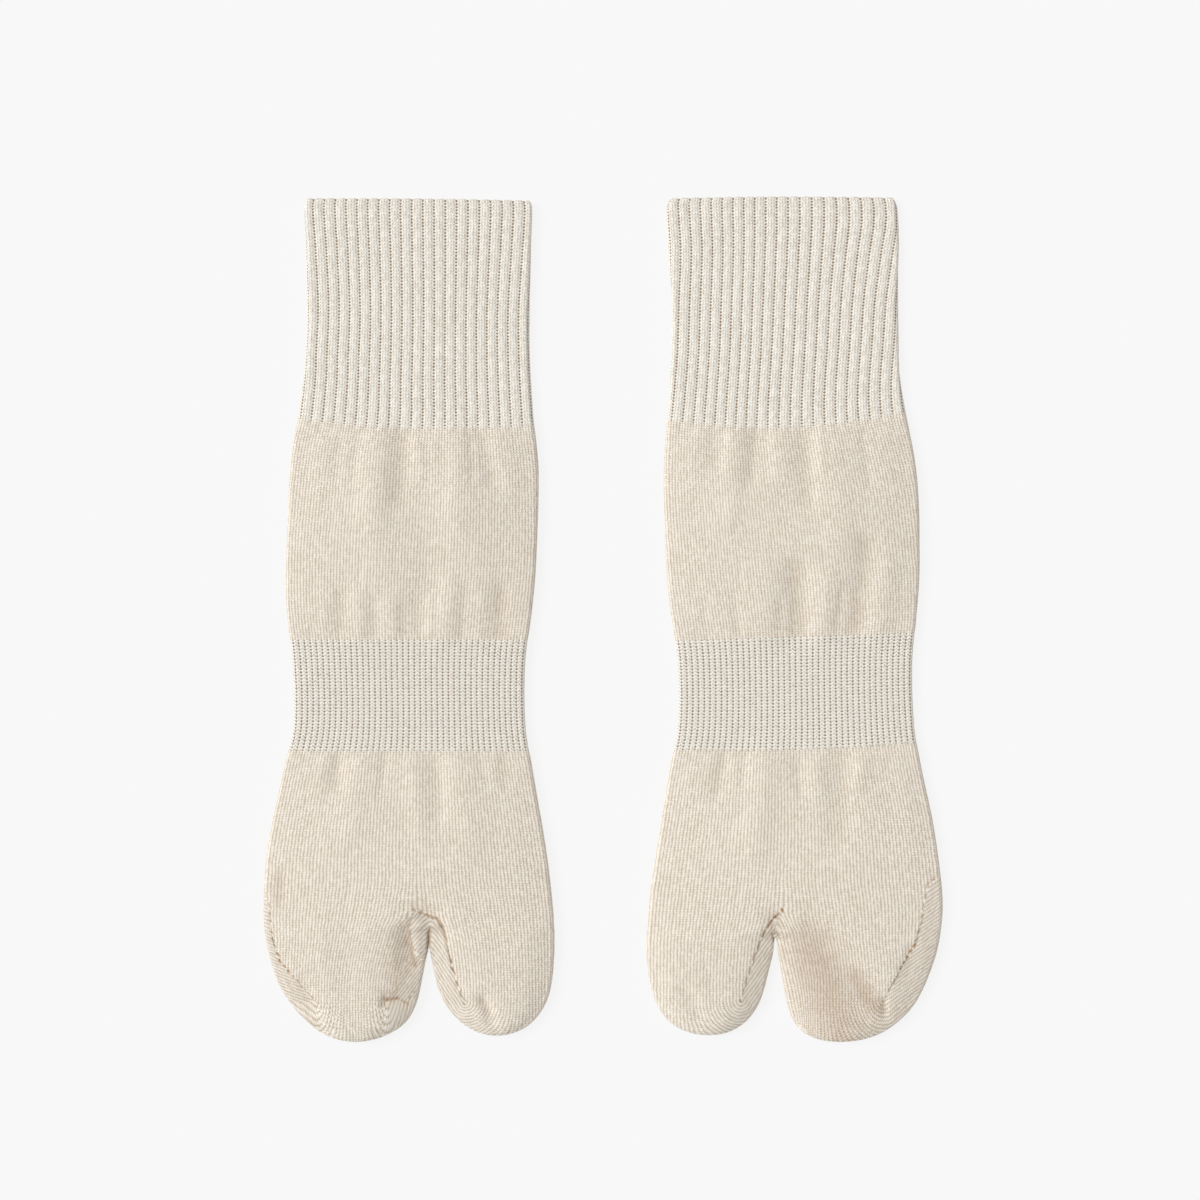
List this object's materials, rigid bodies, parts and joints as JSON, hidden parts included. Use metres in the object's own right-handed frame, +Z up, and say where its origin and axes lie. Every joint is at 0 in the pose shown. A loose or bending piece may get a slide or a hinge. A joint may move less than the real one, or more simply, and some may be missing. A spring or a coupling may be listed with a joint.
{
  "type": "pair of tabi socks",
  "caption": "Knitted split-toe socks laid flat side by side, each a tube with a ribbed cuff, plain leg, ribbed arch band and forked toe.",
  "frame": {"origin": "on the surface that the pair lies on, under the middle of the pair", "axes": "+X across the pair to the right-hand sock, +Y from the toes to the cuffs, +Z up"},
  "size_m": [0.2372, 0.2952, 0.0068],
  "materials": {
    "plain_knit": "plain knit of undyed cream cotton, dry and matt with a little fuzz",
    "cuff_rib": "wide ribs of cream cotton, slightly greyer where the elastic shows in the grooves",
    "band_rib": "fine ribs of cream cotton, slightly greyer where the elastic shows in the grooves"
  },
  "bodies": {
    "root": {"left_cuff": "cuff_rib", "left_leg": "plain_knit", "left_arch_band": "band_rib", "left_foot": "plain_knit", "right_cuff": "cuff_rib", "right_leg": "plain_knit", "right_arch_band": "band_rib", "right_foot": "plain_knit"}
  },
  "joints": []
}
